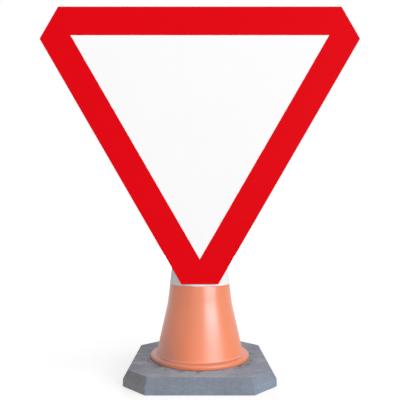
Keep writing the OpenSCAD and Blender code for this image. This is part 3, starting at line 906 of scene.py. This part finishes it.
def zinc_plating():
    """Bright zinc with a yellowish tint in places."""
    finish = Finish("zinc_plating", Metallic=1.0)
    haze = finish.noise(180.0)
    tint = finish.noise(70.0, 2.0)
    colour = finish.mix(tint.above(0.4, 0.7), rgb(196, 197, 196), rgb(206, 200, 178))
    rough = 0.26 + haze * 0.18
    return finish.set(Base_Color=colour, Roughness=rough, Normal=finish.bump(haze, 0.0001, 0.3)).material


def plain_plastic(name, dark, light, rough_from):
    """Moulded plastic or foam with a fine grain."""
    finish = Finish(name, Specular_IOR_Level=0.4)
    grain = finish.noise(700.0, 2.0)
    cloud = finish.noise(40.0)
    colour = finish.mix(cloud, dark, light)
    rough = rough_from + grain * 0.12 + cloud * 0.06
    return finish.set(Base_Color=colour, Roughness=rough, Normal=finish.bump(grain, 0.0002, 0.4)).material


def dress(piece, finish, slot, body, *nodes):
    """Give a piece its finish and say which body it rides on and which nodes it stands for."""
    piece.data.materials.clear()
    piece.data.materials.append(finish)
    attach(piece, body)
    if nodes:
        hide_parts(*nodes)


def build():
    """Make every piece of the object."""
    orange = orange_plastic()
    rubber = base_rubber()
    sleeve_white = reflective("sleeve_white", rgb(243, 243, 245), rgb(224, 225, 229), 190.0)
    white = reflective("sheeting_white", rgb(252, 252, 252), rgb(245, 245, 246), 210.0)
    red = reflective("border_red", rgb(227, 6, 19), rgb(216, 5, 18), 210.0)
    grey = coated_plate()
    aluminium = rail_aluminium()
    steel = galvanised_steel()
    zinc = zinc_plating()
    cap_black = plain_plastic("cap_plastic", rgb(26, 26, 28), rgb(36, 36, 38), 0.48)
    tape_black = plain_plastic("tape_foam", rgb(32, 32, 34), rgb(44, 44, 46), 0.80)
    nylon = plain_plastic("nut_nylon", rgb(196, 206, 214), rgb(214, 220, 226), 0.40)
    dress(cast_base(), rubber, "base_rubber", "cone", "base_weight")
    dress(mould_cone(), orange, "orange_plastic", "cone", "cone_body")
    dress(wrap_sleeve(), sleeve_white, "sleeve_white", "sleeve", "reflective_sleeve")
    plate = sign_sheet("plate", "sign_plate")
    soften(plate, PLATE_EDGE_R)
    dress(plate, grey, "plate_grey", "sign", "sign_plate")
    dress(sign_sheet("sheeting", "white_sheeting"), white, "sheeting_white", "sign", "white_sheeting")
    dress(sign_sheet("border", "red_border", BORDER_W), red, "border_red", "sign", "red_border")
    for level in ("upper", "lower"):
        rail, tape, clip = level + "_rail", level + "_rail_tape", level + "_cone_clip"
        dress(press_rail(level + "_channel", rail), aluminium, "rail_aluminium", "sign", rail)
        dress(lay_tape(level + "_tape", tape), tape_black, "tape_black", "sign", tape)
        dress(bend_clip(level + "_clip", clip), steel, "clip_steel", "sign", clip)
    dress(fit_end_caps(), cap_black, "cap_plastic", "sign", "rail_end_caps")
    dress(make_bolts(), zinc, "fastener_steel", "sign", "clip_bolts")
    dress(make_washers(), zinc, "fastener_steel", "sign", "clip_washers")
    dress(make_nuts(), zinc, "fastener_steel", "sign", "clip_nuts")
    dress(make_nut_inserts(), nylon, "cap_plastic", "sign")


def lay_floor():
    """A pale floor that looks white, and is darker only where the object shades it."""
    deselect()
    bpy.ops.mesh.primitive_plane_add(size=FLOOR_W)
    floor = bpy.context.object
    floor.name = "floor"
    material = bpy.data.materials.new("floor")
    material.use_nodes = True
    tree = material.node_tree
    tree.nodes.remove(tree.nodes["Principled BSDF"])
    nodes = Nodes(tree)
    away = nodes.reach(nodes.node("ShaderNodeTexCoord", output="Object"))
    rise = nodes.node("ShaderNodeMapRange", None, {"Value": away, "From Min": GLOW_NEAR, "From Max": GLOW_FAR,
                                                   "To Min": GLOW_LOW, "To Max": GLOW_HIGH})
    glow = nodes.node("ShaderNodeEmission", None, {"Strength": rise})
    matt, bounce = [nodes.node("ShaderNodeBsdfDiffuse", None, {"Color": (grey, grey, grey, 1)})
                    for grey in (FLOOR_SEEN, FLOOR_BOUNCE)]
    shown = nodes.node("ShaderNodeAddShader", None, {0: matt, 1: glow})
    surface = nodes.node("ShaderNodeMixShader", None, {0: nodes.seen_directly(), 1: bounce, 2: shown})
    nodes.put(tree.nodes["Material Output"].inputs["Surface"], surface)
    floor.data.materials.append(material)


def light_studio():
    """A white surround that lights evenly, and soft lamps low on the right, all round and overhead."""
    world = bpy.data.worlds.new("studio")
    bpy.context.scene.world = world
    world.use_nodes = True
    nodes = Nodes(world.node_tree)
    background = nodes.tree.nodes["Background"]
    nodes.put(background.inputs["Color"], (1, 1, 1, 1))
    nodes.put(background.inputs["Strength"], ROUND_LIGHT + nodes.seen_directly() * (1 - ROUND_LIGHT))
    for name, place, size, power, mirrored in LAMPS:
        lamp = bpy.data.lights.new(name, "AREA")
        lamp.shape = "RECTANGLE"
        lamp.size, lamp.size_y = size
        lamp.energy = power
        holder = bpy.data.objects.new(name, lamp)
        holder.location = place
        holder.visible_glossy = mirrored
        holder.rotation_euler = (LAMP_AIM - Vector(place)).to_track_quat("-Z", "Y").to_euler()
        bpy.context.collection.objects.link(holder)


def set_camera():
    """The photograph's place: level, close in front, with the view moved up."""
    camera = bpy.data.cameras.new("camera")
    camera.sensor_width = SENSOR
    camera.lens = LENS
    camera.shift_x, camera.shift_y = SHIFT_X, SHIFT_Y
    holder = bpy.data.objects.new("camera", camera)
    holder.location = CAMERA_PLACE
    holder.rotation_euler = (math.pi / 2, 0, 0)
    bpy.context.collection.objects.link(holder)
    bpy.context.scene.camera = holder


build()
lay_floor()
light_studio()
set_camera()
bpy.context.scene.view_settings.view_transform = "Standard"
